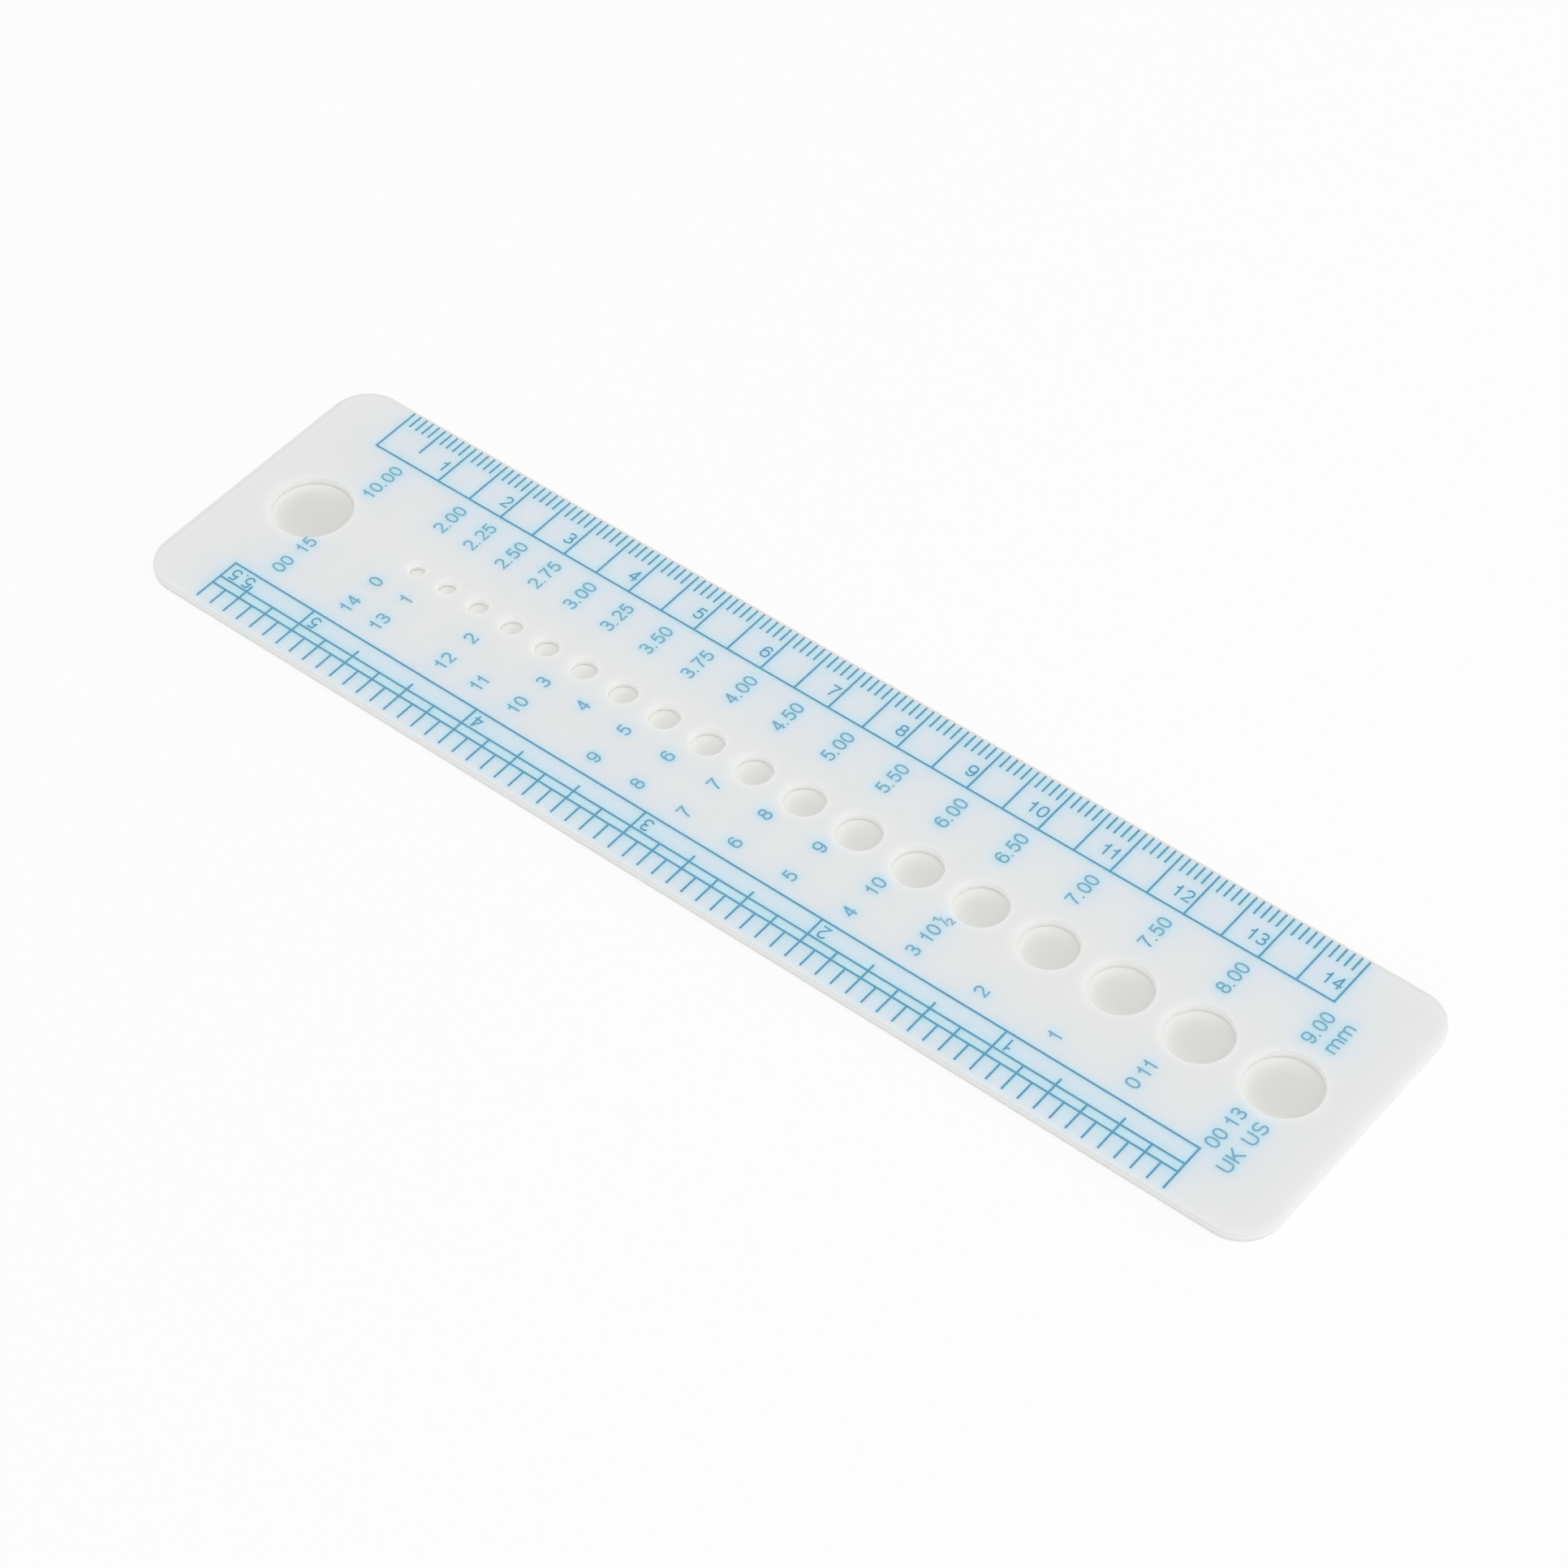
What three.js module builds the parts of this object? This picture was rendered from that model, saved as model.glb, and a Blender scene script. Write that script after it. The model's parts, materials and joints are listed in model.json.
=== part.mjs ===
// A knitting needle gauge: one thin, flat plastic plate with rounded corners and a row of graded
// round holes along its middle. A needle's size is that of the smallest hole it slides through.
// The plate lies flat with its printed face up.
//
// Millimetres. X runs along the plate, Y across it and Z up. The origin is the middle of the
// underside. The row of holes sets the length of the plate.

import * as THREE from 'three';

// Plate.
const plateWidth = 40;
const plateThickness = 1.2;
const cornerRadius = 5;
const edgeRounding = 0.2;

// Sizes that the holes measure. From the smallest up they rise in fine steps, then in coarse
// ones, and two larger sizes follow. The largest hole stands alone at the left end.
const smallestSize = 2;
const fineStep = 0.25;
const lastFineSize = 4;
const coarseStep = 0.5;
const lastCoarseSize = 8;
const secondLargestSize = 9;
const largestSize = 10;

// A hole is this much wider than the needle that it measures, so that the needle slides.
const holeClearance = 0.05;

// Layout of the row, all from wall to wall along X.
const leftMargin = 4.9;
const largestHoleGap = 10.85;
const webWidth = 2.52;
const rightMargin = 5.46;

// Fineness of the round shapes.
const facetLength = 0.8;
const fewestFacets = 16;
const roundingSteps = 2;

// Look of the plastic: milky white, satin.
const plateColour = 0xe5e5e3;
const plateRoughness = 0.42;

const quarterTurn = Math.PI / 2;

// Sizes from the first up to the last, in equal steps.
function runOfSizes(first, last, step) {
  const sizes = [];
  for (let size = first; size < last + step / 2; size += step) {
    sizes.push(size);
  }
  return sizes;
}

// Sizes of the graded part of the row, from the smallest up.
function gradedSizes() {
  return [
    ...runOfSizes(smallestSize, lastFineSize, fineStep),
    ...runOfSizes(lastFineSize + coarseStep, lastCoarseSize, coarseStep),
    secondLargestSize,
  ];
}

// Each hole's diameter and its place along X, measured from the left end of the plate, and
// the length of plate that the row needs.
function layOutRow() {
  const holes = [];
  let edge = leftMargin;
  const addHole = (size, spaceAfter) => {
    const diameter = size + holeClearance;
    holes.push({ diameter, x: edge + diameter / 2 });
    edge += diameter + spaceAfter;
  };

  addHole(largestSize, largestHoleGap);
  const sizes = gradedSizes();
  sizes.forEach((size, index) => {
    const isLast = index === sizes.length - 1;
    addHole(size, isLast ? rightMargin : webWidth);
  });
  return { holes, length: edge };
}

// How many flats stand for a turn of the given angle at the given radius.
function facetCount(radius, angle) {
  const whole = Math.max(fewestFacets, Math.round((2 * Math.PI * radius) / facetLength));
  return Math.ceil((whole * angle) / (2 * Math.PI));
}

// Rounded outline of the plate, centred on the origin.
function plateOutline(length, width, radius) {
  const outline = [];
  const facets = facetCount(radius, quarterTurn);
  const cornerCentres = [
    [length / 2 - radius, width / 2 - radius],
    [radius - length / 2, width / 2 - radius],
    [radius - length / 2, radius - width / 2],
    [length / 2 - radius, radius - width / 2],
  ];
  cornerCentres.forEach(([centreX, centreY], corner) => {
    for (let index = 0; index <= facets; index += 1) {
      const angle = (corner + index / facets) * quarterTurn;
      outline.push(new THREE.Vector2(
        centreX + radius * Math.cos(angle),
        centreY + radius * Math.sin(angle),
      ));
    }
  });
  return new THREE.Shape(outline);
}

// A round hole on the plate's centreline. Its flats touch the true circle from outside, so
// a needle of the full diameter still passes.
function holeOutline(x, diameter) {
  const facets = facetCount(diameter / 2, 2 * Math.PI);
  const radius = diameter / 2 / Math.cos(Math.PI / facets);
  const outline = [];
  for (let index = 0; index < facets; index += 1) {
    const angle = (index / facets) * 2 * Math.PI;
    outline.push(new THREE.Vector2(x + radius * Math.cos(angle), radius * Math.sin(angle)));
  }
  return new THREE.Path(outline);
}

// The plate with its row of holes. Every edge, round the outline and at both mouths of each
// hole, is rounded over, which gives a needle point a short lead-in.
function makeGaugePlate() {
  const { holes, length } = layOutRow();
  const outline = plateOutline(length, plateWidth, cornerRadius);
  for (const hole of holes) {
    outline.holes.push(holeOutline(hole.x - length / 2, hole.diameter));
  }

  const geometry = new THREE.ExtrudeGeometry(outline, {
    depth: plateThickness - 2 * edgeRounding,
    bevelEnabled: true,
    bevelThickness: edgeRounding,
    bevelSize: edgeRounding,
    bevelOffset: -edgeRounding,
    bevelSegments: roundingSteps,
  });
  const material = new THREE.MeshStandardMaterial({
    color: plateColour,
    roughness: plateRoughness,
    metalness: 0,
  });
  const plate = new THREE.Mesh(geometry, material);
  plate.name = 'gauge_plate';
  plate.position.z = edgeRounding;
  return plate;
}

const needleGauge = new THREE.Group();
needleGauge.name = 'knitting_needle_gauge';
needleGauge.add(makeGaugePlate());

export default needleGauge;
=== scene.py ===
"""Looks of a knitting needle gauge: a milky plastic plate, the blue print on it and a plain stage.

The frame gives the plate's size and place. The plate gets smooth holes and rounded rims, and
the print is a thin film of ink: a centimetre scale, an inch scale and three rows of sizes.
"""

import json
import math
from collections import Counter, defaultdict, namedtuple

import bmesh
import bpy
import numpy as np
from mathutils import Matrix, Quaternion, Vector
from mathutils.geometry import delaunay_2d_cdt

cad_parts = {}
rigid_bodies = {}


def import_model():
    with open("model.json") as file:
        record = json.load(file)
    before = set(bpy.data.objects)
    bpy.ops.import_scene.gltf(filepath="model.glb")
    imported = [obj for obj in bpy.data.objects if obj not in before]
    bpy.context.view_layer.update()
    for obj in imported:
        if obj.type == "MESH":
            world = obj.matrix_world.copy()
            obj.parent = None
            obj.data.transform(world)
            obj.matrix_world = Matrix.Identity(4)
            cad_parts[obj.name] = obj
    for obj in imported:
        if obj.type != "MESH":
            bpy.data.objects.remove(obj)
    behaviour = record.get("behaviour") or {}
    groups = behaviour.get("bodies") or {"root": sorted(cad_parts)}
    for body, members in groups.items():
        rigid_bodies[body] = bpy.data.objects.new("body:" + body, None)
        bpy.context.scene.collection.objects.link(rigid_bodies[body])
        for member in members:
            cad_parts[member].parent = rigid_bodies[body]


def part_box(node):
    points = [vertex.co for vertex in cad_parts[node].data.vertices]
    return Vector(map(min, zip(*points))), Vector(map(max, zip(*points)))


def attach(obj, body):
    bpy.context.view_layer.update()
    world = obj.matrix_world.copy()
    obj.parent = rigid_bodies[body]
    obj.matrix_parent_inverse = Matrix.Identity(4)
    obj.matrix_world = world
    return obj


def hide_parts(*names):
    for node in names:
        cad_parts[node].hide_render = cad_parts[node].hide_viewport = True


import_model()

bl_info = {
    "name": "Needle gauge",
    "version": (1, 0, 0),
    "blender": (4, 5, 0),
    "location": "3D View > Sidebar > Needle gauge",
    "description": "Makes a knitting needle gauge with its printed scales and sizes",
    "category": "Add Mesh",
}

MM = 0.001
PLATE_NODE = "gauge_plate"
PLATE_LOW, PLATE_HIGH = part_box(PLATE_NODE)
PLATE_LENGTH = PLATE_HIGH.x - PLATE_LOW.x
PLATE_WIDTH = PLATE_HIGH.y - PLATE_LOW.y
PLATE_THICKNESS = PLATE_HIGH.z - PLATE_LOW.z
LEFT_END = PLATE_LOW.x

# Names of the materials, and the mark that a printed piece carries.
PLASTIC_LOOK = "milky_plastic_look"
INK_LOOK = "blue_ink_look"
ROW_INK_LOOK = "pale_blue_ink_look"
INK_MARK = "is_ink"

# Names of the numbers that are stored on the points of the plate.
# Painted blue light from the ink, close by and further off.
HALO = "ink_halo"
WASH = "ink_wash"
# Painted shade on the upper rims and beside the plate's left and far edges.
RIM_SHADE = "painted_rim_shade"
SEEN = "light_seen"
SHED = "light_shed"

# A length too small to see, and a number too small to matter that keeps a division possible.
HAIR = 0.01 * MM
TINY = 1e-9


# Properties


def length(name, description, millimetres):
    """A length that a user can change. Its default is given in millimetres."""
    return bpy.props.FloatProperty(
        name=name,
        description=description,
        default=millimetres * MM,
        unit="LENGTH",
        precision=5,
    )


def number(name, description, default):
    """A plain number that a user can change."""
    return bpy.props.FloatProperty(name=name, description=description, default=default)


def count(name, description, default):
    """A whole number that a user can change."""
    return bpy.props.IntProperty(name=name, description=description, default=default, min=1)


def colour(name, description, default):
    """A colour that a user can change, in linear red, green and blue."""
    return bpy.props.FloatVectorProperty(
        name=name,
        description=description,
        default=default,
        subtype="COLOR",
        size=3,
        min=0,
        max=1,
    )


def position(name, description, millimetres):
    """A place that a user can change. Its default is given in millimetres."""
    return bpy.props.FloatVectorProperty(
        name=name,
        description=description,
        default=[part * MM for part in millimetres],
        subtype="TRANSLATION",
        unit="LENGTH",
        precision=5,
        size=3,
    )


def angle(name, description, degrees):
    """An angle that a user can change. Its default is given in degrees."""
    return bpy.props.FloatProperty(
        name=name,
        description=description,
        default=math.radians(degrees),
        unit="ROTATION",
    )


class HoleRow(bpy.types.PropertyGroup):
    """Sizes of the row of graded holes."""

    smallest: length("Smallest size", "Needle size of the smallest hole", 2)
    fine_step: length("Fine step", "Step between the small sizes", 0.25)
    last_fine: length("Last fine size", "Size up to which the fine step goes", 4)
    coarse_step: length("Coarse step", "Step between the larger sizes", 0.5)
    last_coarse: length("Last coarse size", "Size up to which the coarse step goes", 8)
    second_largest: length("Second largest size", "Size of the last hole of the row", 9)
    largest: length("Largest size", "Size of the hole that stands alone at the left", 10)
    clearance: length("Clearance", "How much wider a hole is than its needle", 0.05)
    left_margin: length("Left margin", "From the left end to the first hole", 4.9)
    largest_gap: length("Gap beside the largest", "From the largest hole to the row", 10.85)
    web: length("Web", "Plastic between two holes of the row", 2.52)


class Plate(bpy.types.PropertyGroup):
    """Shape and plastic of the plate."""

    corner_radius: length("Corner radius", "Radius of the plate's corners", 5)
    rounding: length("Edge rounding", "Radius of every edge and hole rim", 0.2)
    rim_steps: count("Rim steps", "Facets across a rounded edge", 5)
    circle_points: count("Circle points", "Facets round a hole", 96)
    corner_points: count("Corner points", "Facets round a corner of the plate", 24)
    outline_step: length("Outline step", "Spacing of the points round the outline", 0.5)
    grid: length("Face grid", "Spacing of the points on the printed face", 0.5)
    plastic: colour("Plastic", "Colour of the milky plastic", (0.822, 0.835, 0.824))
    # Painted light: blue light from the ink scattered through the plastic, close by and further off.
    halo: colour("Halo", "Plastic close to dense ink", (0.545, 0.838, 1.0))
    halo_reach: length("Halo reach", "How far the halo of the ink goes", 0.6)
    full_halo: number("Full halo", "Share of ink close by that gives the full halo", 0.3)
    wash: colour("Wash", "Plastic with much ink further off", (0.665, 0.79, 0.93))
    wash_reach: length("Wash reach", "How far the ink tints the plastic faintly", 2.0)
    full_wash: number("Full wash", "Share of ink round about that gives the full wash", 0.2)
    # Painted shade: its colour on the rims, and how far it reaches onto the face beside them.
    worn: colour("Shaded rim", "Plastic greyed by handling, on rounded edges", (0.72, 0.73, 0.72))
    wear_reach: length("Wear reach", "How far the worn edges' grey goes onto the face", 0.18)
    roughness: number("Roughness", "Roughness of the satin face", 0.42)
    scatter_depth: length("Scatter depth", "How deep light goes into the plastic", 2)
    scatter: number("Scatter", "Share of the light that goes into the plastic", 0.5)
    light: colour("Light", "Colour of the light that comes out of walls", (1.0, 0.99, 0.96))
    wall_light: number("Wall light", "Light seen in the wall of a hole", 0.03)
    end_light: number("End light", "Light seen in the plate's right end", 0.056)
    rim_light: number("Rim light", "Light seen on the face at a rim", 0.021)
    rim_reach: length("Rim reach", "How far from a wall the face is lighter", 1.8)
    shed_light: number("Shed light", "Light that the largest hole's wall sheds on the floor", 1.0)
    foot_share: number("Share at the foot", "Share of it that is shed at the foot of a wall", 0.58)
    small_hole_fade: number("Small hole fade", "How much less of it a small hole's wall sheds", 0.18)
    turn_share: number("Share by direction", "How much less of it a wall sheds that faces left", 0.25)
    end_share: number("Share at the end", "Share of it that the plate's right end sheds", 0.4)
    top_share: number("Share at the top", "Share of the light seen at the top of a wall", 0.8)


class Print(bpy.types.PropertyGroup):
    """Ink, lines and letters of the print."""

    ink: colour("Ink", "Colour of the scales' ink", (0.084, 0.303, 0.478))
    row_ink: colour("Ink of the rows", "Colour of the sizes' thinner ink", (0.172, 0.395, 0.555))
    ink_roughness: number("Ink roughness", "Roughness of the ink", 0.5)
    line_width: length("Line width", "Width of the scales' lines", 0.245)
    ink_top: length("Ink height", "How far the ink stands proud of the plastic", 0.012)
    ink_root: length("Ink root", "How far the ink reaches into the plastic", 0.01)
    overprint: length("Overprint", "How much higher a line is than the one that it crosses", 0.001)
    letter_height: length("Letter height", "Height of the numbers and letters", 1.79)
    letter_stroke: length("Letter stroke", "Width of the strokes of a scale's numbers", 0.205)
    row_stroke: length("Row stroke", "Width of the strokes in the rows of sizes", 0.225)


class CentimetreScale(bpy.types.PropertyGroup):
    """Places on the centimetre scale. Across places are measured from the middle of the plate."""

    start: length("Start", "From the left end of the plate to the zero line", 8.85)
    centimetres: count("Centimetres", "Length of the scale", 14)
    outer_end: length("Outer end", "Where the ticks begin, near the edge", 19.62)
    millimetre_end: length("Millimetre end", "Where the millimetre ticks end", 17.45)
    first_half_end: length("First half end", "Where the first half centimetre's tick ends", 14.8)
    base_line: length("Base line", "Line where the long ticks end", 12.65)
    number_base: length("Number base", "Foot of the numbers", 14.2)
    number_gap: length("Number gap", "From a number to the line that it belongs to", 0.48)


class InchScale(bpy.types.PropertyGroup):
    """Places on the inch scale. Across places are measured from the middle of the plate."""

    start: length("Start", "From the left end of the plate to the zero line, at the right", 148.95)
    inch: length("Inch", "Length of an inch", 25.4)
    divisions: count("Divisions", "Parts that an inch is divided into", 12)
    parts: count("Parts", "Parts on the whole scale", 66)
    outer_end: length("Outer end", "Where the ticks begin, near the edge", -19.15)
    lower_line: length("Lower line", "Line where every part's tick ends", -16.45)
    middle_line: length("Middle line", "Line where every second part's tick ends", -15.15)
    third_end: length("Third end", "Where the ticks of a third of an inch end", -14.1)
    upper_line: length("Upper line", "Line where the whole inches' ticks end", -12.5)
    number_base: length("Number base", "Foot of the numbers, which stand upside down", -13.05)
    number_gap: length("Number gap", "From an inch's line to its number", 0.75)


class SizeRows(bpy.types.PropertyGroup):
    """Places of the three rows of sizes. Across places are measured from the middle."""

    metric_end: length("Metric end", "Where the metric sizes end, towards the edge", 10.95)
    us_end: length("US end", "Where the US sizes end, next to the holes", -3.9)
    uk_start: length("UK start", "Where the UK sizes start, next to the inch scale", -10.4)
    mm_heading_end: length("mm heading end", "Where the heading mm ends", 10.9)
    us_heading_end: length("US heading end", "Where the heading US ends", -5.75)
    uk_heading_start: length("UK heading start", "Where the heading UK starts", -13.4)
    small_shift: length("Shift at the smallest", "How far left of its hole a size stands", 2.45)
    large_shift: length("Shift at the largest", "How far left of the last hole its size stands", 1.5)
    alone_shift: length("Shift of the largest hole", "How far right of its hole its size stands", 3.8)
    heading_gap: length("Heading gap", "From the last size to the headings", 2.6)
    heading_step: length("Heading step", "How far the lower headings stand right of mm", 0.35)


class Stage(bpy.types.PropertyGroup):
    """Camera, floor and lamp."""

    azimuth: angle("Azimuth", "Where the camera stands round the plate", 39.86)
    elevation: angle("Elevation", "How high the camera stands", 48.27)
    roll: angle("Roll", "Turn of the camera about its view", -1.24)
    distance: length("Distance", "From the camera to the point that it looks at", 513.2)
    aim: position("Aim", "Point that the camera looks at", (1.1, 1.2, 0))
    lens: number("Lens", "Focal length in millimetres", 103.97)
    sensor: number("Sensor", "Width of the camera's sensor in millimetres", 36)
    nearest: length("Nearest", "Nearest thing that the camera sees", 10)
    farthest: length("Farthest", "Farthest thing that the camera sees", 20000)
    floor: colour("Floor", "Colour of the floor", (0.93, 0.93, 0.925))
    floor_under: colour("Floor under the plate", "Floor seen in the holes", (0.69, 0.69, 0.67))
    floor_margin: length("Floor margin", "How far that floor stays inside the plate's edge", 3)
    floor_white: colour("Floor white", "White that the camera sees the floor as", (1.0, 1.0, 0.995))
    floor_glow: number("Floor glow", "How much the camera sees the floor as white", 0.82)
    floor_reach: number("Floor reach", "Half the floor's side, in lengths of the plate", 30)
    sky: number("Sky", "Strength of the even light from all round", 0.88)
    lamp: position("Lamp", "Where the soft lamp stands, turned to the plate", (1500, 200, 1100))
    lamp_width: length("Lamp width", "Width of the lamp", 1800)
    lamp_height: length("Lamp height", "Height of the lamp", 1400)
    lamp_power: number("Lamp power", "Power of the lamp in watts", 6.2)


# Node trees


class Value:
    """What a node puts out. Arithmetic on it adds Math nodes to its tree."""

    def __init__(self, tree, socket):
        self.tree = tree
        self.socket = socket

    def maths(self, operation, *terms):
        """The result of a Math node with the given terms."""
        return self.tree.add("ShaderNodeMath", {"operation": operation}, dict(enumerate(terms)))

    def __add__(self, other):
        return self.maths("ADD", self, other)

    def __radd__(self, other):
        return self.maths("ADD", other, self)

    def __sub__(self, other):
        return self.maths("SUBTRACT", self, other)

    def __rsub__(self, other):
        return self.maths("SUBTRACT", other, self)

    def __mul__(self, other):
        return self.maths("MULTIPLY", self, other)

    def __rmul__(self, other):
        return self.maths("MULTIPLY", other, self)

    def __truediv__(self, other):
        return self.maths("DIVIDE", self, other)

    def __mod__(self, other):
        return self.maths("FLOORED_MODULO", self, other)

    def __lt__(self, other):
        return self.maths("LESS_THAN", self, other)

    def __abs__(self):
        return self.maths("ABSOLUTE", self)

    def is_near(self, other):
        """1 where two whole numbers are the same, else 0."""
        return self.maths("COMPARE", self, other, 0.5)

    def choose(self, when_one, when_zero):
        """One value where this mask is 1 and another where it is 0."""
        return when_zero + self * (when_one - when_zero)


class Tree:
    """Builds the nodes of a material or of a Geometry Nodes group."""

    def __init__(self, node_tree):
        self.node_tree = node_tree

    def add(self, kind, settings=None, sockets=None, output=0):
        """Makes a node, sets its settings, then its sockets, and gives one of its outputs.

        A node that ends a tree has no output, and is asked for with output=None.
        """
        node = self.node_tree.nodes.new(kind)
        for name, setting in (settings or {}).items():
            setattr(node, name, setting)
        for key, value in (sockets or {}).items():
            self.fill(self.find(node.inputs, key), value)
        return None if output is None else Value(self, self.find(node.outputs, output))

    def find(self, sockets, key):
        """A socket by its number, its identifier or its name."""
        if isinstance(key, int):
            return sockets[key]
        by_identifier = [socket for socket in sockets if socket.identifier == key]
        return by_identifier[0] if by_identifier else sockets[key]

    def fill(self, socket, value):
        """Links a value to a socket, or several to a socket that takes several."""
        if isinstance(value, Value):
            self.node_tree.links.new(value.socket, socket)
        elif isinstance(value, list):
            for one in value:
                self.node_tree.links.new(one.socket, socket)
        else:
            socket.default_value = value


class GeometryTree(Tree):
    """A Geometry Nodes group with named inputs, run once to make a plain mesh."""

    KINDS = {
        int: "NodeSocketInt",
        float: "NodeSocketFloat",
        bpy.types.Material: "NodeSocketMaterial",
    }

    def __init__(self, name, inputs):
        group = bpy.data.node_groups.new(name, "GeometryNodeTree")
        super().__init__(group)
        self.inputs = inputs
        self.identifiers = {}
        group.interface.new_socket("Geometry", in_out="INPUT", socket_type="NodeSocketGeometry")
        group.interface.new_socket("Geometry", in_out="OUTPUT", socket_type="NodeSocketGeometry")
        for label, value in inputs.items():
            kind = self.KINDS[type(value)]
            socket = group.interface.new_socket(label, in_out="INPUT", socket_type=kind)
            self.identifiers[label] = socket.identifier
        self.entry = group.nodes.new("NodeGroupInput")

    def named(self, label):
        """One of the group's named inputs."""
        return Value(self, self.entry.outputs[label])

    def vector(self, x=0.0, y=0.0, z=0.0):
        """A vector of up to three values."""
        return self.add("ShaderNodeCombineXYZ", None, {"X": x, "Y": y, "Z": z})

    def finish(self, parts):
        """Joins the parts, makes them real and gives them the material."""
        joined = self.add("GeometryNodeJoinGeometry", None, {"Geometry": parts})
        real = self.add("GeometryNodeRealizeInstances", None, {"Geometry": joined})
        sockets = {"Geometry": real, "Material": self.named("Material")}
        made = self.add("GeometryNodeSetMaterial", None, sockets)
        exit_node = self.node_tree.nodes.new("NodeGroupOutput")
        self.node_tree.links.new(made.socket, exit_node.inputs["Geometry"])

    def run(self, name, source=None):
        """The mesh that the group makes from the source mesh."""
        carrier = add_object(name, source or bpy.data.meshes.new(name))
        modifier = carrier.modifiers.new("nodes", "NODES")
        modifier.node_group = self.node_tree
        for label, value in self.inputs.items():
            modifier[self.identifiers[label]] = value
        graph = bpy.context.evaluated_depsgraph_get()
        mesh = bpy.data.meshes.new_from_object(carrier.evaluated_get(graph))
        carrier.modifiers.remove(modifier)
        bpy.data.objects.remove(carrier)
        return mesh


# Materials


# Sizes of the blotches in the plastic and in the ink.
CLOUD_SIZE = 22 * MM
SPECK_SIZE = 1.4 * MM
WAVE_SIZE = 6 * MM
GRAIN_SIZE = 0.45 * MM
INK_PATCH_SIZE = 9 * MM
INK_GRAIN_SIZE = 0.35 * MM

# Depth and strength of the bumps, and how much the waves count against the grain.
PLASTIC_BUMP = (0.01 * MM, 0.35)
INK_BUMP = (0.005 * MM, 0.3)
WAVE_SHARE = 2.0

# How much the colours, the gloss and the painted rim shade change from blotch to blotch, and how
# much rougher the plastic is where the rims are shaded.
CLOUD_CONTRAST = 0.015
SPECK_SHARE = 0.3
INK_PATCH_SHARE = 0.35
THIN_INK = 1.22
DENSE_INK = 0.84
PLASTIC_GLOSS_SWING = 0.12
INK_GLOSS_SWING = 0.1
RIM_SHADE_SWING = 0.4
SHADED_RIM_ROUGHER = 0.1

# Light in the plastic: its refraction, how deep red, green and blue go, as shares of the
# scatter depth, and the strength that a white emission colour stands for.
PLASTIC_IOR = 1.5
DEPTH_BY_COLOUR = (1.0, 1.0, 0.95)
MOST_LIGHT = 2.0

BLACK = (0.0, 0.0, 0.0)
WHITE = (1.0, 1.0, 1.0)


def empty_tree(owner):
    """The node tree of a new material or world, with nothing in it yet."""
    owner.use_nodes = True
    owner.node_tree.nodes.clear()
    return Tree(owner.node_tree)


def close_material(tree, shader):
    """Links the shader to the material's surface."""
    tree.add("ShaderNodeOutputMaterial", None, {"Surface": shader}, output=None)


def object_place(tree):
    """Object coordinates, which every pattern lies on."""
    return tree.add("ShaderNodeTexCoord", output="Object")


def stored(tree, name):
    """A number that is stored on the points of the mesh."""
    return tree.add("ShaderNodeAttribute", {"attribute_name": name}, output="Fac")


def noise(tree, size, detail=2.0):
    """Noise from about 0 to 1 with blotches of the given size."""
    sockets = {"Vector": object_place(tree), "Scale": 1 / size, "Detail": detail}
    return tree.add("ShaderNodeTexNoise", None, sockets, output="Fac")


def varied(middle, swing, pattern):
    """A number that a pattern makes vary about its middle."""
    return middle - swing / 2 + swing * pattern


def mix_colours(tree, factor, first, second):
    """One colour blended into another."""
    sockets = {"Factor_Float": factor, "A_Color": first, "B_Color": second}
    settings = {"data_type": "RGBA", "blend_type": "MIX", "clamp_factor": True}
    return tree.add("ShaderNodeMix", settings, sockets, output="Result_Color")


def bumpy(tree, height, bump):
    """The surface's direction with bumps, from their height and their depth and strength."""
    sockets = {"Height": height, "Distance": bump[0], "Strength": bump[1]}
    return tree.add("ShaderNodeBump", None, sockets)


def opaque(shade):
    """A colour as a node's socket takes it."""
    return (*shade, 1.0)


def shaded(shade, factor):
    """A colour made lighter or darker."""
    return opaque(min(1.0, part * factor) for part in shade)


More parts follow.
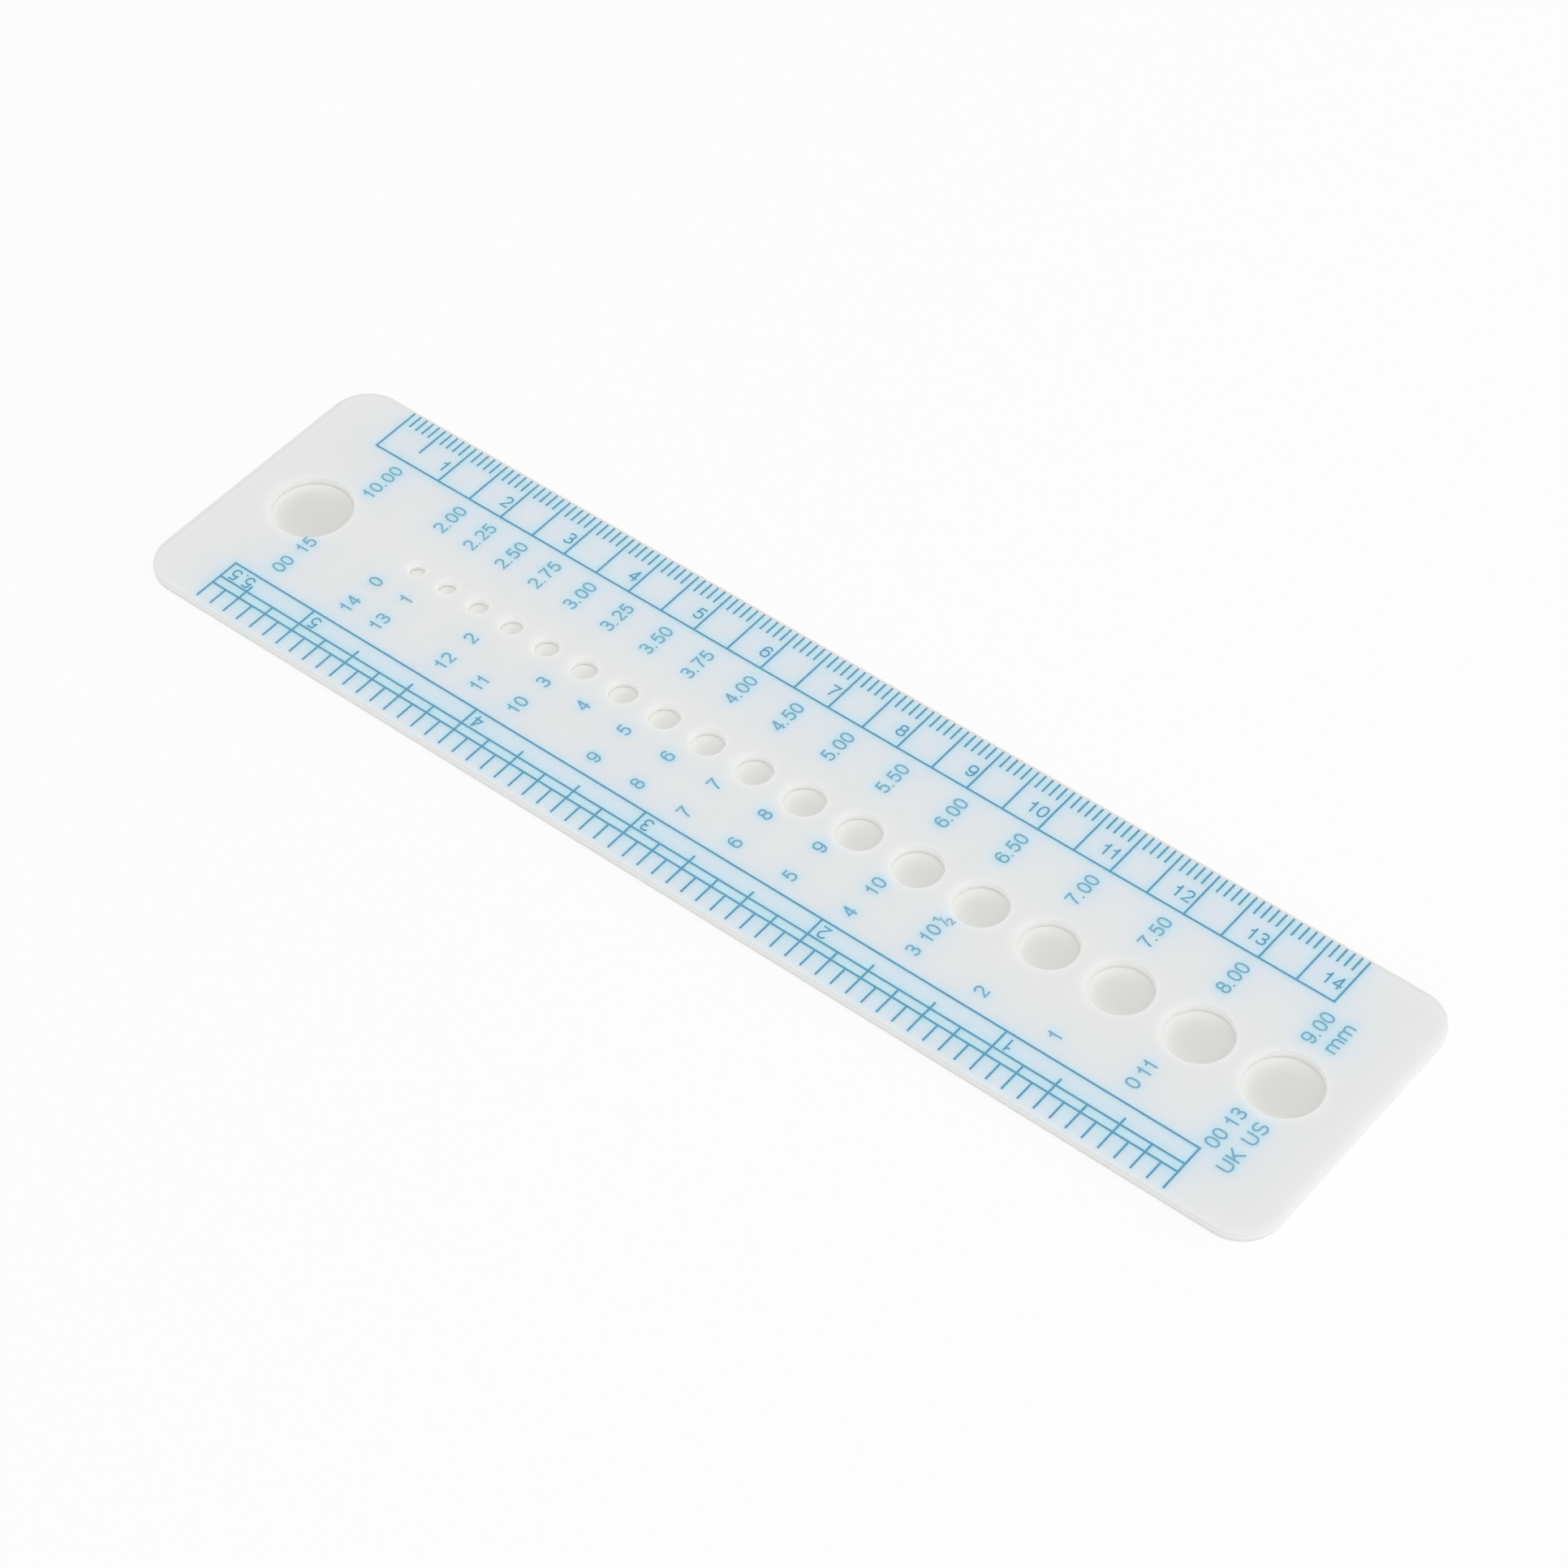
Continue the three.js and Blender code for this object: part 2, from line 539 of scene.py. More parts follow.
def milky_plastic(plate):
    """Satin, milky plastic that light goes a little way into, with painted blue light and rim shade.
    """
    material = bpy.data.materials.new(PLASTIC_LOOK)
    tree = empty_tree(material)
    clouds = noise(tree, CLOUD_SIZE)
    specks = noise(tree, SPECK_SIZE, detail=4.0)
    duller = shaded(plate.plastic, 1 - CLOUD_CONTRAST)
    paler = shaded(plate.plastic, 1 + CLOUD_CONTRAST)
    cloudy = mix_colours(tree, clouds, duller, paler)
    body = mix_colours(tree, specks * SPECK_SHARE, cloudy, opaque(plate.plastic))
    # Painted light: the ink's blue light scattered through the plastic beside the print.
    ink_wash_lit = mix_colours(tree, stored(tree, WASH), body, opaque(plate.wash))
    ink_lit = mix_colours(tree, stored(tree, HALO), ink_wash_lit, opaque(plate.halo))
    # Painted shade darkens the rims and the face beside the left and far edges.
    worn = stored(tree, RIM_SHADE)
    rim_shaded = mix_colours(tree, worn * varied(1.0, RIM_SHADE_SWING, clouds), ink_lit, opaque(plate.worn))

    is_seen = tree.add("ShaderNodeLightPath", output="Is Camera Ray")
    share = is_seen.choose(stored(tree, SEEN), stored(tree, SHED)) / MOST_LIGHT
    escaping = mix_colours(tree, share, opaque(BLACK), opaque(plate.light))

    relief = noise(tree, GRAIN_SIZE, detail=3.0) + noise(tree, WAVE_SIZE) * WAVE_SHARE
    gloss = varied(plate.roughness, PLASTIC_GLOSS_SWING, specks)
    sockets = {
        "Base Color": rim_shaded,
        "Roughness": gloss + SHADED_RIM_ROUGHER * worn,
        "IOR": PLASTIC_IOR,
        "Subsurface Weight": plate.scatter,
        "Subsurface Radius": DEPTH_BY_COLOUR,
        "Subsurface Scale": plate.scatter_depth,
        "Emission Color": escaping,
        "Emission Strength": MOST_LIGHT,
        "Normal": bumpy(tree, relief, PLASTIC_BUMP),
    }
    close_material(tree, tree.add("ShaderNodeBsdfPrincipled", None, sockets))
    return material


def blue_ink(name, shade, roughness):
    """Thin satin ink that is a little denser in some places than in others."""
    material = bpy.data.materials.new(name)
    tree = empty_tree(material)
    grain = noise(tree, INK_GRAIN_SIZE, detail=3.0)
    density = (1 - INK_PATCH_SHARE) * grain + INK_PATCH_SHARE * noise(tree, INK_PATCH_SIZE)
    sockets = {
        "Base Color": mix_colours(tree, density, shaded(shade, THIN_INK), shaded(shade, DENSE_INK)),
        "Roughness": varied(roughness, INK_GLOSS_SWING, grain),
        "Normal": bumpy(tree, grain, INK_BUMP),
    }
    close_material(tree, tree.add("ShaderNodeBsdfPrincipled", None, sockets))
    return material


def seen_directly(tree):
    """1 for what the camera sees, also in a mirror or through glass, else 0."""
    kinds = ("Is Camera Ray", "Is Glossy Ray", "Is Transmission Ray")
    camera, glossy, through = (tree.add("ShaderNodeLightPath", output=kind) for kind in kinds)
    return camera + glossy + through


def floor_finish(stage):
    """Plain floor, grey under the plate and nearly white to the camera round it."""
    material = bpy.data.materials.new("pale_floor")
    tree = empty_tree(material)
    sockets = {"Vector": object_place(tree)}
    along, across = (
        tree.add("ShaderNodeSeparateXYZ", None, sockets, output=axis) for axis in ("X", "Y")
    )
    in_length = abs(along) < PLATE_LENGTH / 2 - stage.floor_margin
    in_width = abs(across) < PLATE_WIDTH / 2 - stage.floor_margin
    under = in_length * in_width
    shade = mix_colours(tree, under, opaque(stage.floor), opaque(stage.floor_under))
    lit = tree.add("ShaderNodeBsdfDiffuse", None, {"Color": shade})
    glow = tree.add("ShaderNodeEmission", None, {"Color": opaque(stage.floor_white)})
    share = seen_directly(tree) * (1.0 - under) * stage.floor_glow
    shader = tree.add("ShaderNodeMixShader", None, {0: share, 1: lit, 2: glow})
    close_material(tree, shader)
    return material


def plastic_material(plate):
    """The milky plastic, made when it is first asked for."""
    return bpy.data.materials.get(PLASTIC_LOOK) or milky_plastic(plate)


def ink_material(printing, is_row=False):
    """The ink of the scales or of the rows of sizes, made when it is first asked for."""
    name, shade = (ROW_INK_LOOK, printing.row_ink) if is_row else (INK_LOOK, printing.ink)
    return bpy.data.materials.get(name) or blue_ink(name, shade, printing.ink_roughness)


# Pieces


def add_object(name, data):
    """A new object in the scene."""
    made = bpy.data.objects.new(name, data)
    bpy.context.scene.collection.objects.link(made)
    return made


def new_mesh(name, points, faces=(), material=None):
    """A mesh of the given points and faces."""
    mesh = bpy.data.meshes.new(name)
    mesh.from_pydata(points, [], faces)
    if material:
        mesh.materials.append(material)
    return mesh


def add_piece(name, mesh):
    """Links a finished mesh as a piece of the gauge that moves with it."""
    mesh.name = name
    piece = add_object(name, mesh)
    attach(piece, "root")
    return piece


def add_ink(name, mesh):
    """Links a printed piece, and marks it as ink."""
    piece = add_piece(name, mesh)
    piece[INK_MARK] = True
    return piece


# Printed scales


def print_scale(name, inputs, steps, lines):
    """A scale: a row of ticks, and the long lines that they end at.

    inputs names the tree's values. steps names pairs of inputs: every so many ticks, and where
    those ticks end. A later step overrides an earlier one. lines names the inputs that say where
    the long lines lie.
    """
    tree = GeometryTree(name, inputs)
    named = tree.named
    width = named("Line width")
    depth = named("Ink top") + named("Ink root")
    middle = named("Face height") + (named("Ink top") - named("Ink root")) * 0.5
    box = tree.add("GeometryNodeMeshCube", None, {"Size": (1.0, 1.0, 1.0)})

    index = tree.add("GeometryNodeInputIndex")
    inner_end = named("Tick end")
    for every, end in steps:
        inner_end = (index % named(every)).is_near(0.0).choose(named(end), inner_end)
    inner_end = index.is_near(named("Odd tick")).choose(named("Odd tick end"), inner_end)
    outer_end = named("Outer end")
    tick_length = abs(outer_end - inner_end)
    place = tree.vector(
        named("First tick") + index * named("Tick pitch"),
        (outer_end + inner_end) * 0.5,
        middle + named("Overprint"),
    )
    points = tree.add("GeometryNodePoints", None, {"Count": named("Ticks"), "Position": place})
    ticks = tree.add(
        "GeometryNodeInstanceOnPoints",
        None,
        {"Points": points, "Instance": box, "Scale": tree.vector(width, tick_length, depth)},
    )

    span = named("Tick pitch") * (named("Ticks") - 1.0)
    parts = [ticks]
    for line in lines:
        sockets = {
            "Geometry": box,
            "Translation": tree.vector(named("First tick") + span * 0.5, named(line), middle),
            "Scale": tree.vector(abs(span) + width, width, depth),
        }
        parts.append(tree.add("GeometryNodeTransform", None, sockets))
    tree.finish(parts)
    return add_ink(name, tree.run(name))


def ink_inputs(printing):
    """The tree inputs that both scales share."""
    return {
        "Material": ink_material(printing),
        "Face height": PLATE_HIGH.z,
        "Line width": printing.line_width,
        "Ink top": printing.ink_top,
        "Ink root": printing.ink_root,
        "Overprint": printing.overprint,
    }


# Letters


# Shape of the strokes: degrees between the points of an oval, the power that squares it a
# little, the steps of a bend, and the limit that keeps a sharp corner's mitre short.
BOWL_STEP = 15
SQUARENESS = 0.88
BEND_STEPS = 8
LEAST_LEAN = 0.6

# Widths of the letters, and how far the pen moves on after each, as shares of their height.
LETTER_WIDTH = 0.66
WIDTHS = {".": 0.0, "m": 1.12, "U": 0.78, "S": 0.78, "K": 0.8, "½": 0.95}
DIGIT_ADVANCE = 0.777
ADVANCES = {".": 0.39, " ": 0.39, "m": 1.28, "U": 0.96, "S": 0.93, "K": 0.93, "½": 1.16}
KERNS = {"11": -0.104}
FRACTION_STROKE = 0.72


def bowl(centre, radii, start, end):
    """Points on a slightly squared oval, from one angle to another, in degrees."""
    steps = max(2, round(abs(end - start) / BOWL_STEP))
    points = []
    for index in range(steps + 1):
        turn = math.radians(start + (end - start) * index / steps)
        across, up = math.cos(turn), math.sin(turn)
        points.append((
            centre[0] + radii[0] * math.copysign(abs(across) ** SQUARENESS, across),
            centre[1] + radii[1] * math.copysign(abs(up) ** SQUARENESS, up),
        ))
    return points


def bend(start, control, end):
    """Points on a curve from start to end that leans towards a control point."""
    points = []
    for index in range(BEND_STEPS + 1):
        t = index / BEND_STEPS
        points.append(tuple(
            (1 - t) ** 2 * a + 2 * t * (1 - t) * b + t ** 2 * c
            for a, b, c in zip(start, control, end)
        ))
    return points


def digit_six():
    """Strokes of a 6, which is a 9 upside down."""
    return [
        bowl((0.5, 0.31), (0.5, 0.31), 0, 360),
        [(0, 0.31)] + bowl((0.52, 0.5), (0.52, 0.5), 180, 35),
    ]


def turned(strokes):
    """Strokes turned upside down."""
    return [[(1 - across, 1 - up) for across, up in stroke] for stroke in strokes]


def scaled(strokes, low, size):
    """Strokes made smaller, with their lower left corner at low."""
    return [
        [(low[0] + across * size[0], low[1] + up * size[1]) for across, up in stroke]
        for stroke in strokes
    ]


def letter_strokes(over):
    """Centre lines of each letter in a box one unit wide and high.

    A line that ends flush with the box's foot or head runs over by half a stroke.
    """
    low, high = -over, 1 + over
    letters = {
        "0": [bowl((0.5, 0.5), (0.5, 0.5), 0, 360)],
        "1": [
            [(0.62, low), (0.62, high)],
            bowl((0.1, 0.98), (0.52, 0.27), -90, -8),
        ],
        "2": [
            bowl((0.5, 0.71), (0.47, 0.29), 165, -28) + [(0.03, 0), (1.08, 0)],
        ],
        "3": [
            bowl((0.47, 0.76), (0.43, 0.24), 160, -90) + [(0.3, 0.52)],
            [(0.3, 0.52)] + bowl((0.47, 0.26), (0.5, 0.26), 90, -160),
        ],
        "4": [
            [(0.7, 1), (0, 0.27), (1.1, 0.27)],
            [(0.74, low), (0.74, high)],
        ],
        "5": [
            [(0.97, 1), (0.2, 1), (0.07, 0.46)],
            bowl((0.47, 0.32), (0.5, 0.32), 146, -158),
        ],
        "6": digit_six(),
        "7": [
            [(-0.08, 1)] + bend((1, 1), (0.42, 0.5), (0.3, low)),
        ],
        "8": [
            bowl((0.5, 0.765), (0.42, 0.235), 0, 360),
            bowl((0.5, 0.27), (0.5, 0.27), 0, 360),
        ],
        "9": turned(digit_six()),
        ".": [[(0, low), (0, over)]],
        "m": [
            [(0, low), (0, 0.74)],
            bowl((0.25, 0.46), (0.25, 0.24), 180, 0) + [(0.5, low)],
            bowl((0.75, 0.46), (0.25, 0.24), 180, 0) + [(1, low)],
        ],
        "U": [[(0, high)] + bowl((0.5, 0.34), (0.5, 0.34), 180, 360) + [(1, high)]],
        "S": [
            bowl((0.5, 0.745), (0.45, 0.255), 22, 270)
            + bowl((0.5, 0.245), (0.5, 0.245), 90, -158)[1:],
        ],
        "K": [
            [(0, low), (0, high)],
            [(0.98, high), (0.02, 0.33)],
            [(0.36, 0.6), (1.05, low)],
        ],
        " ": [],
    }
    letters["½"] = (
        scaled(letters["1"], (-0.07, 0.7), (0.66, 0.48))
        + [[(0.3, -0.1), (0.58, 0.84)]]
        + scaled(letters["2"], (0.58, -0.26), (0.4, 0.54))
    )
    return letters


class Film:
    """Thin strokes of ink, gathered into one mesh."""

    def __init__(self, printing, is_row=False):
        self.printing = printing
        self.material = ink_material(printing, is_row)
        self.stroke = printing.row_stroke if is_row else printing.letter_stroke
        self.points = []
        self.faces = []

    def is_loop(self, line):
        """Whether a stroke ends where it starts."""
        return (line[0] - line[-1]).length < self.printing.overprint

    def edges_of(self, line, half_width, closed):
        """The left and right edges of a stroke, mitred where it turns."""
        left, right = [], []
        last = len(line) - 1
        for index, point in enumerate(line):
            ways = []
            if index > 0 or closed:
                ways.append((point - line[index - 1]).normalized())
            if index < last or closed:
                ways.append((line[(index + 1) % len(line)] - point).normalized())
            along = sum(ways, Vector((0, 0))).normalized()
            side = Vector((-along.y, along.x))
            lean = max(LEAST_LEAN, along.dot(ways[0]))
            left.append(point + side * half_width / lean)
            right.append(point - side * half_width / lean)
        return left, right

    def add_stroke(self, line, width, layer):
        """A closed strip of ink along a line, a hair higher with each layer."""
        closed = self.is_loop(line)
        if closed:
            line = line[:-1]
        left, right = self.edges_of(line, width / 2, closed)
        top = PLATE_HIGH.z + self.printing.ink_top + layer * self.printing.overprint
        root = PLATE_HIGH.z - self.printing.ink_root
        first = len(self.points)
        for a, b in zip(left, right):
            self.points += [(*a, top), (*b, top), (*b, root), (*a, root)]
        rings = len(line)
        for ring in range(rings if closed else rings - 1):
            here = first + 4 * ring
            there = first + 4 * ((ring + 1) % rings)
            for side in range(4):
                other = (side + 1) % 4
                self.faces.append((here + side, here + other, there + other, there + side))
        if not closed:
            end = first + 4 * (rings - 1)
            self.faces.append(tuple(first + corner for corner in (3, 2, 1, 0)))
            self.faces.append(tuple(end + corner for corner in (0, 1, 2, 3)))

    def text_width(self, text):
        """Width of a text from the left side of its first letter to the right of its last."""
        height = self.printing.letter_height
        before_last = sum(self.advances(text)[:-1])
        return height * (before_last + sum(self.letter_width(letter) for letter in text[-1:]))

    def advances(self, text):
        """How far the pen moves on after each letter, as shares of the letter height."""
        pairs = zip(text, text[1:] + " ")
        return [ADVANCES.get(one, DIGIT_ADVANCE) + KERNS.get(one + two, 0) for one, two in pairs]

    def letter_width(self, letter):
        """Outer width of a letter, as a share of its height."""
        thickness = self.stroke / self.printing.letter_height
        return max(thickness, WIDTHS.get(letter, LETTER_WIDTH))

    def write(self, text, start, reading):
        """Writes a text from the point start, in the direction reading."""
        height = self.printing.letter_height
        stroke = self.stroke
        upward = Vector((-reading[1], reading[0]))
        onward = Vector(reading)
        pen = 0.0
        box_height = height - stroke
        letters = letter_strokes(stroke / 2 / box_height)
        for letter, advance in zip(text, self.advances(text)):
            box_width = max(0.0, height * self.letter_width(letter) - stroke)
            for layer, line in enumerate(letters[letter]):
                placed = [
                    Vector(start)
                    + onward * (pen + stroke / 2 + across * box_width)
                    + upward * (stroke / 2 + up * box_height)
                    for across, up in line
                ]
                width = stroke * (FRACTION_STROKE if letter == "½" else 1)
                self.add_stroke(placed, width, layer)
            pen += height * advance

    def piece(self, name):
        """The strokes as a printed piece."""
        return add_ink(name, new_mesh(name, self.points, self.faces, self.material))


# Row of holes


Hole = namedtuple("Hole", "size x radius")


def steps_between(first, last, step):
    """Sizes from the first up to the last, in equal steps."""
    return [first + step * index for index in range(round((last - first) / step) + 1)]


def hole_row(row):
    """The holes from the left end on: the largest, then the graded row."""
    fine = steps_between(row.smallest, row.last_fine, row.fine_step)
    coarse = steps_between(row.last_fine + row.coarse_step, row.last_coarse, row.coarse_step)
    holes = []
    edge = LEFT_END + row.left_margin
    for size in [row.largest, *fine, *coarse, row.second_largest]:
        diameter = size + row.clearance
        holes.append(Hole(size, edge + diameter / 2, diameter / 2))
        edge += diameter + (row.largest_gap if size == row.largest else row.web)
    return holes


# Plate


# How far the face's points stay off the rims, as a share of their spacing.
GRID_CLEARANCE = 0.4

# What the triangulation is asked for: the faces inside the outline and outside the holes.
INSIDE_WITH_HOLES = 2


def rim_profile(tree):
    """A wall's section: a rounded foot, a straight wall and a rounded head.

    Across is the depth into the plastic. A sweep turns the section's second axis downwards.
    """
    named = tree.named
    steps = named("Rim steps")
    radius = named("Edge rounding")
    index = tree.add("GeometryNodeInputIndex")
    is_foot = index < steps + 0.5
    step = is_foot.choose(index, index - steps - 1.0)
    turn = step / steps * (math.pi / 2)
    sine = turn.maths("SINE", turn)
    cosine = turn.maths("COSINE", turn)
    depth = radius * (1.0 - is_foot.choose(sine, cosine))
    foot = radius * (1.0 - cosine)
    head = named("Thickness") - radius * (1.0 - sine)
    height = is_foot.choose(foot, head)
    line = tree.add("GeometryNodeMeshLine", None, {"Count": steps * 2.0 + 2.0})
    sockets = {"Geometry": line, "Position": tree.vector(depth, 0.0 - height)}
    shaped = tree.add("GeometryNodeSetPosition", None, sockets)
    return tree.add("GeometryNodeMeshToCurve", None, {"Mesh": shaped})


def sweep(tree, path, profile):
    """The profile swept along a flat path, upright all the way."""
    level = tree.add("GeometryNodeSetCurveNormal", {"mode": "Z_UP"}, {"Curve": path})
    sockets = {"Curve": level, "Profile Curve": profile}
    return tree.add("GeometryNodeCurveToMesh", None, sockets)


def plate_walls(plate, holes, material):
    """The walls of the holes and of the plate's outline, with rounded rims."""
    centres = new_mesh("hole_centres", [(hole.x, 0, 0) for hole in holes])
    store(centres, "hole_radius", np.array([hole.radius for hole in holes]))

    tree = GeometryTree(
        "plate_walls",
        {
            "Material": material,
            "Thickness": PLATE_THICKNESS,
            "Edge rounding": plate.rounding,
            "Rim steps": plate.rim_steps,
            "Circle points": plate.circle_points,
            "Plate length": PLATE_LENGTH,
            "Plate width": PLATE_WIDTH,
            "Corner radius": plate.corner_radius,
            "Corner points": plate.corner_points,
            "Outline step": plate.outline_step,
        },
    )
    named = tree.named
    profile = rim_profile(tree)
    sockets = {"Resolution": named("Circle points"), "Radius": 1.0}
    circle = tree.add("GeometryNodeCurvePrimitiveCircle", None, sockets)
    radius = tree.add("GeometryNodeInputNamedAttribute", None, {"Name": "hole_radius"})
    points = Value(tree, tree.entry.outputs["Geometry"])
    sockets = {"Points": points, "Instance": circle, "Scale": tree.vector(radius, radius, radius)}
    circles = tree.add("GeometryNodeInstanceOnPoints", None, sockets)
    real = tree.add("GeometryNodeRealizeInstances", None, {"Geometry": circles})

    sockets = {"Width": named("Plate length"), "Height": named("Plate width")}
    sides = tree.add("GeometryNodeCurvePrimitiveQuadrilateral", None, sockets)
    sockets = {
        "Curve": sides,
        "Count": named("Corner points"),
        "Radius": named("Corner radius"),
        "Limit Radius": True,
    }
    outline = tree.add("GeometryNodeFilletCurve", {"mode": "POLY"}, sockets)
    sockets = {"Curve": outline, "Length": named("Outline step")}
    even = tree.add("GeometryNodeResampleCurve", {"mode": "LENGTH"}, sockets)
    inward = tree.add("GeometryNodeReverseCurve", None, {"Curve": even})
    tree.finish([sweep(tree, real, profile), sweep(tree, inward, profile)])
    return tree.run("plate_walls", centres)


def open_rims(mesh, height):
    """The open rims of the walls at one height, each a loop of point numbers in order."""
    uses = Counter(key for polygon in mesh.polygons for key in polygon.edge_keys)
    is_level = [abs(vertex.co.z - height) < HAIR for vertex in mesh.vertices]
    neighbours = defaultdict(list)
    for (one, other), used in uses.items():
        if used == 1 and is_level[one] and is_level[other]:
            neighbours[one].append(other)
            neighbours[other].append(one)
    rims = []
    while neighbours:
        rim = [next(iter(neighbours))]
        while onward := [index for index in neighbours.pop(rim[-1]) if index in neighbours]:
            rim.append(onward[0])
        rims.append(rim)
    return rims


def grid_points(plate, holes):
    """Evenly spaced points on the printed face, clear of the rims."""
    gap = plate.rounding + plate.grid * GRID_CLEARANCE
    half_length = PLATE_LENGTH / 2 - gap
    half_width = PLATE_WIDTH / 2 - gap
    columns = np.linspace(-half_length, half_length, round(2 * half_length / plate.grid))
    rows = np.linspace(-half_width, half_width, round(2 * half_width / plate.grid))
    across, up = (axis.ravel() for axis in np.meshgrid(columns, rows))
    past_x = np.maximum(0, abs(across) - half_length + plate.corner_radius)
    past_y = np.maximum(0, abs(up) - half_width + plate.corner_radius)
    keep = np.hypot(past_x, past_y) < plate.corner_radius
    for hole in holes:
        keep &= np.hypot(across - hole.x, up) > hole.radius + gap
    return list(zip(across[keep], up[keep]))


def fill_face(points, rims, inner, height, upward):
    """Triangles of a flat face between the rims. New points are added to the list of points."""
    known = [index for rim in rims for index in rim]
    starts = np.cumsum([0] + [len(rim) for rim in rims])
    loops = [range(first, last) for first, last in zip(starts[:-1], starts[1:])]
    flat = [Vector(points[index][:2]) for index in known] + [Vector(point) for point in inner]
    corners, _, triangles, origins, _, _ = delaunay_2d_cdt(flat, [], loops, INSIDE_WITH_HOLES, TINY)
    index_of = []
    for corner, origin in zip(corners, origins):
        on_rim = [known[source] for source in origin if source < len(known)]
        if on_rim:
            index_of.append(on_rim[0])
        else:
            index_of.append(len(points))
            points.append((corner.x, corner.y, height))
    faces = [tuple(index_of[corner] for corner in triangle) for triangle in triangles]
    return faces if upward else [face[::-1] for face in faces]


def ink_coverage(cell):
    """Share of each cell of the printed face that ink covers."""
    columns = math.ceil(PLATE_LENGTH / cell)
    rows = math.ceil(PLATE_WIDTH / cell)
    spots, weights = [], []
    for piece in bpy.context.scene.objects:
        if not piece.get(INK_MARK):
            continue
        for polygon in piece.data.polygons:
            looks_up = polygon.normal.z > 0.5
            if not looks_up or len(polygon.vertices) != 4:
                continue
            a, b, c, d = (piece.data.vertices[index].co.xy for index in polygon.vertices)
            along = max(1, math.ceil((b - a).length / cell))
            across = max(1, math.ceil((d - a).length / cell))
            for i in range(along):
                for j in range(across):
                    s, t = (i + 0.5) / along, (j + 0.5) / across
                    near = a.lerp(b, s)
                    spots.append(near.lerp(d.lerp(c, s), t))
                    weights.append(polygon.area / (along * across * cell * cell))
    spots = np.array(spots).reshape(-1, 2)
    span_x = (PLATE_LOW.x, PLATE_LOW.x + columns * cell)
    span_y = (PLATE_LOW.y, PLATE_LOW.y + rows * cell)
    cover, _, _ = np.histogram2d(
        spots[:, 0], spots[:, 1], bins=(columns, rows), range=(span_x, span_y), weights=weights
    )
    return cover


def soften(cover, reach, cell):
    """The coverage spread over the given reach. Past three times the reach nothing is left."""
    half = math.ceil(3 * reach / cell)
    kernel = np.exp(-0.5 * (np.arange(-half, half + 1) * cell / reach) ** 2)
    kernel /= kernel.sum()
    for axis in (0, 1):
        cover = np.apply_along_axis(np.convolve, axis, cover, kernel, "same")
    return cover


def places(mesh):
    """How far along, across and up each point of a mesh lies."""
    return np.array([vertex.co for vertex in mesh.vertices]).T


def tint_face(mesh, plate):
    """Stores on each point how much painted blue light the ink close by and further off gives the
    plastic.
    """
    cell = plate.grid / 2
    cover = ink_coverage(cell)
    across, up, height = places(mesh)
    column = ((across - PLATE_LOW.x) / cell).astype(int).clip(0, cover.shape[0] - 1)
    row = ((up - PLATE_LOW.y) / cell).astype(int).clip(0, cover.shape[1] - 1)
    is_printed = height > PLATE_HIGH.z - plate.rounding
    for name, reach, full in (
        (HALO, plate.halo_reach, plate.full_halo),
        (WASH, plate.wash_reach, plate.full_wash),
    ):
        near = soften(cover, reach, cell)[column, row]
        store(mesh, name, np.where(is_printed, near / full, 0.0).clip(0, 1))


def light_walls(mesh, plate, holes):
    """Stores on each point how much light comes out of the milky plastic there.

    The lamp stands at the right, so walls that face right take in the most light, and the
    face glows a little beside them. What a wall sheds on the floor is kept apart from what
    is seen of it, and fades towards its foot.
    """
    across, up, height = places(mesh)
    past_end = across - PLATE_HIGH.x + plate.corner_radius
    past_side = abs(up) - PLATE_HIGH.y + plate.corner_radius
    gap = PLATE_HIGH.x - across
    facing = past_end.clip(0) / np.hypot(past_end.clip(0), past_side.clip(0)).clip(TINY)
    in_wall = plate.wall_light + (plate.end_light - plate.wall_light) * facing
    shed = plate.shed_light * plate.end_share * facing
    largest = max(hole.size for hole in holes)
    for hole in holes:
        from_centre = np.hypot(across - hole.x, up)
        gap_here = from_centre - hole.radius
        is_near = gap_here < gap
        gap[is_near] = gap_here[is_near]
        facing[is_near] = ((hole.x - across) / from_centre)[is_near]
        is_wall = gap_here < plate.rounding
        fade = (hole.size / largest) ** plate.small_hole_fade
        in_wall[is_wall] = plate.wall_light
        turned = 1 - plate.turn_share * (1 - facing[is_wall])
        shed[is_wall] = plate.shed_light * fade * turned
    straight = PLATE_THICKNESS - 2 * plate.rounding
    depth = PLATE_HIGH.z - height
    lift = height - PLATE_LOW.z
    over_rim = (depth / plate.rounding).clip(0, 1)
    over_wall = ((depth - plate.rounding) / straight).clip(0, 1)
    above_foot = (lift / plate.rounding).clip(0, 1)
    up_wall = (lift / (PLATE_THICKNESS - plate.rounding)).clip(0, 1)
    is_above = lift > HAIR
    shed_here = plate.foot_share + (1 - plate.foot_share) * up_wall
    down = plate.top_share * over_rim + (1 - plate.top_share) * over_wall
    on_face = plate.rim_light * facing.clip(0, 1) * np.exp(-gap.clip(0) / plate.rim_reach)
    store(mesh, SEEN, (on_face + (in_wall - on_face) * down) * above_foot)
    store(mesh, SHED, shed * over_rim * shed_here * is_above)


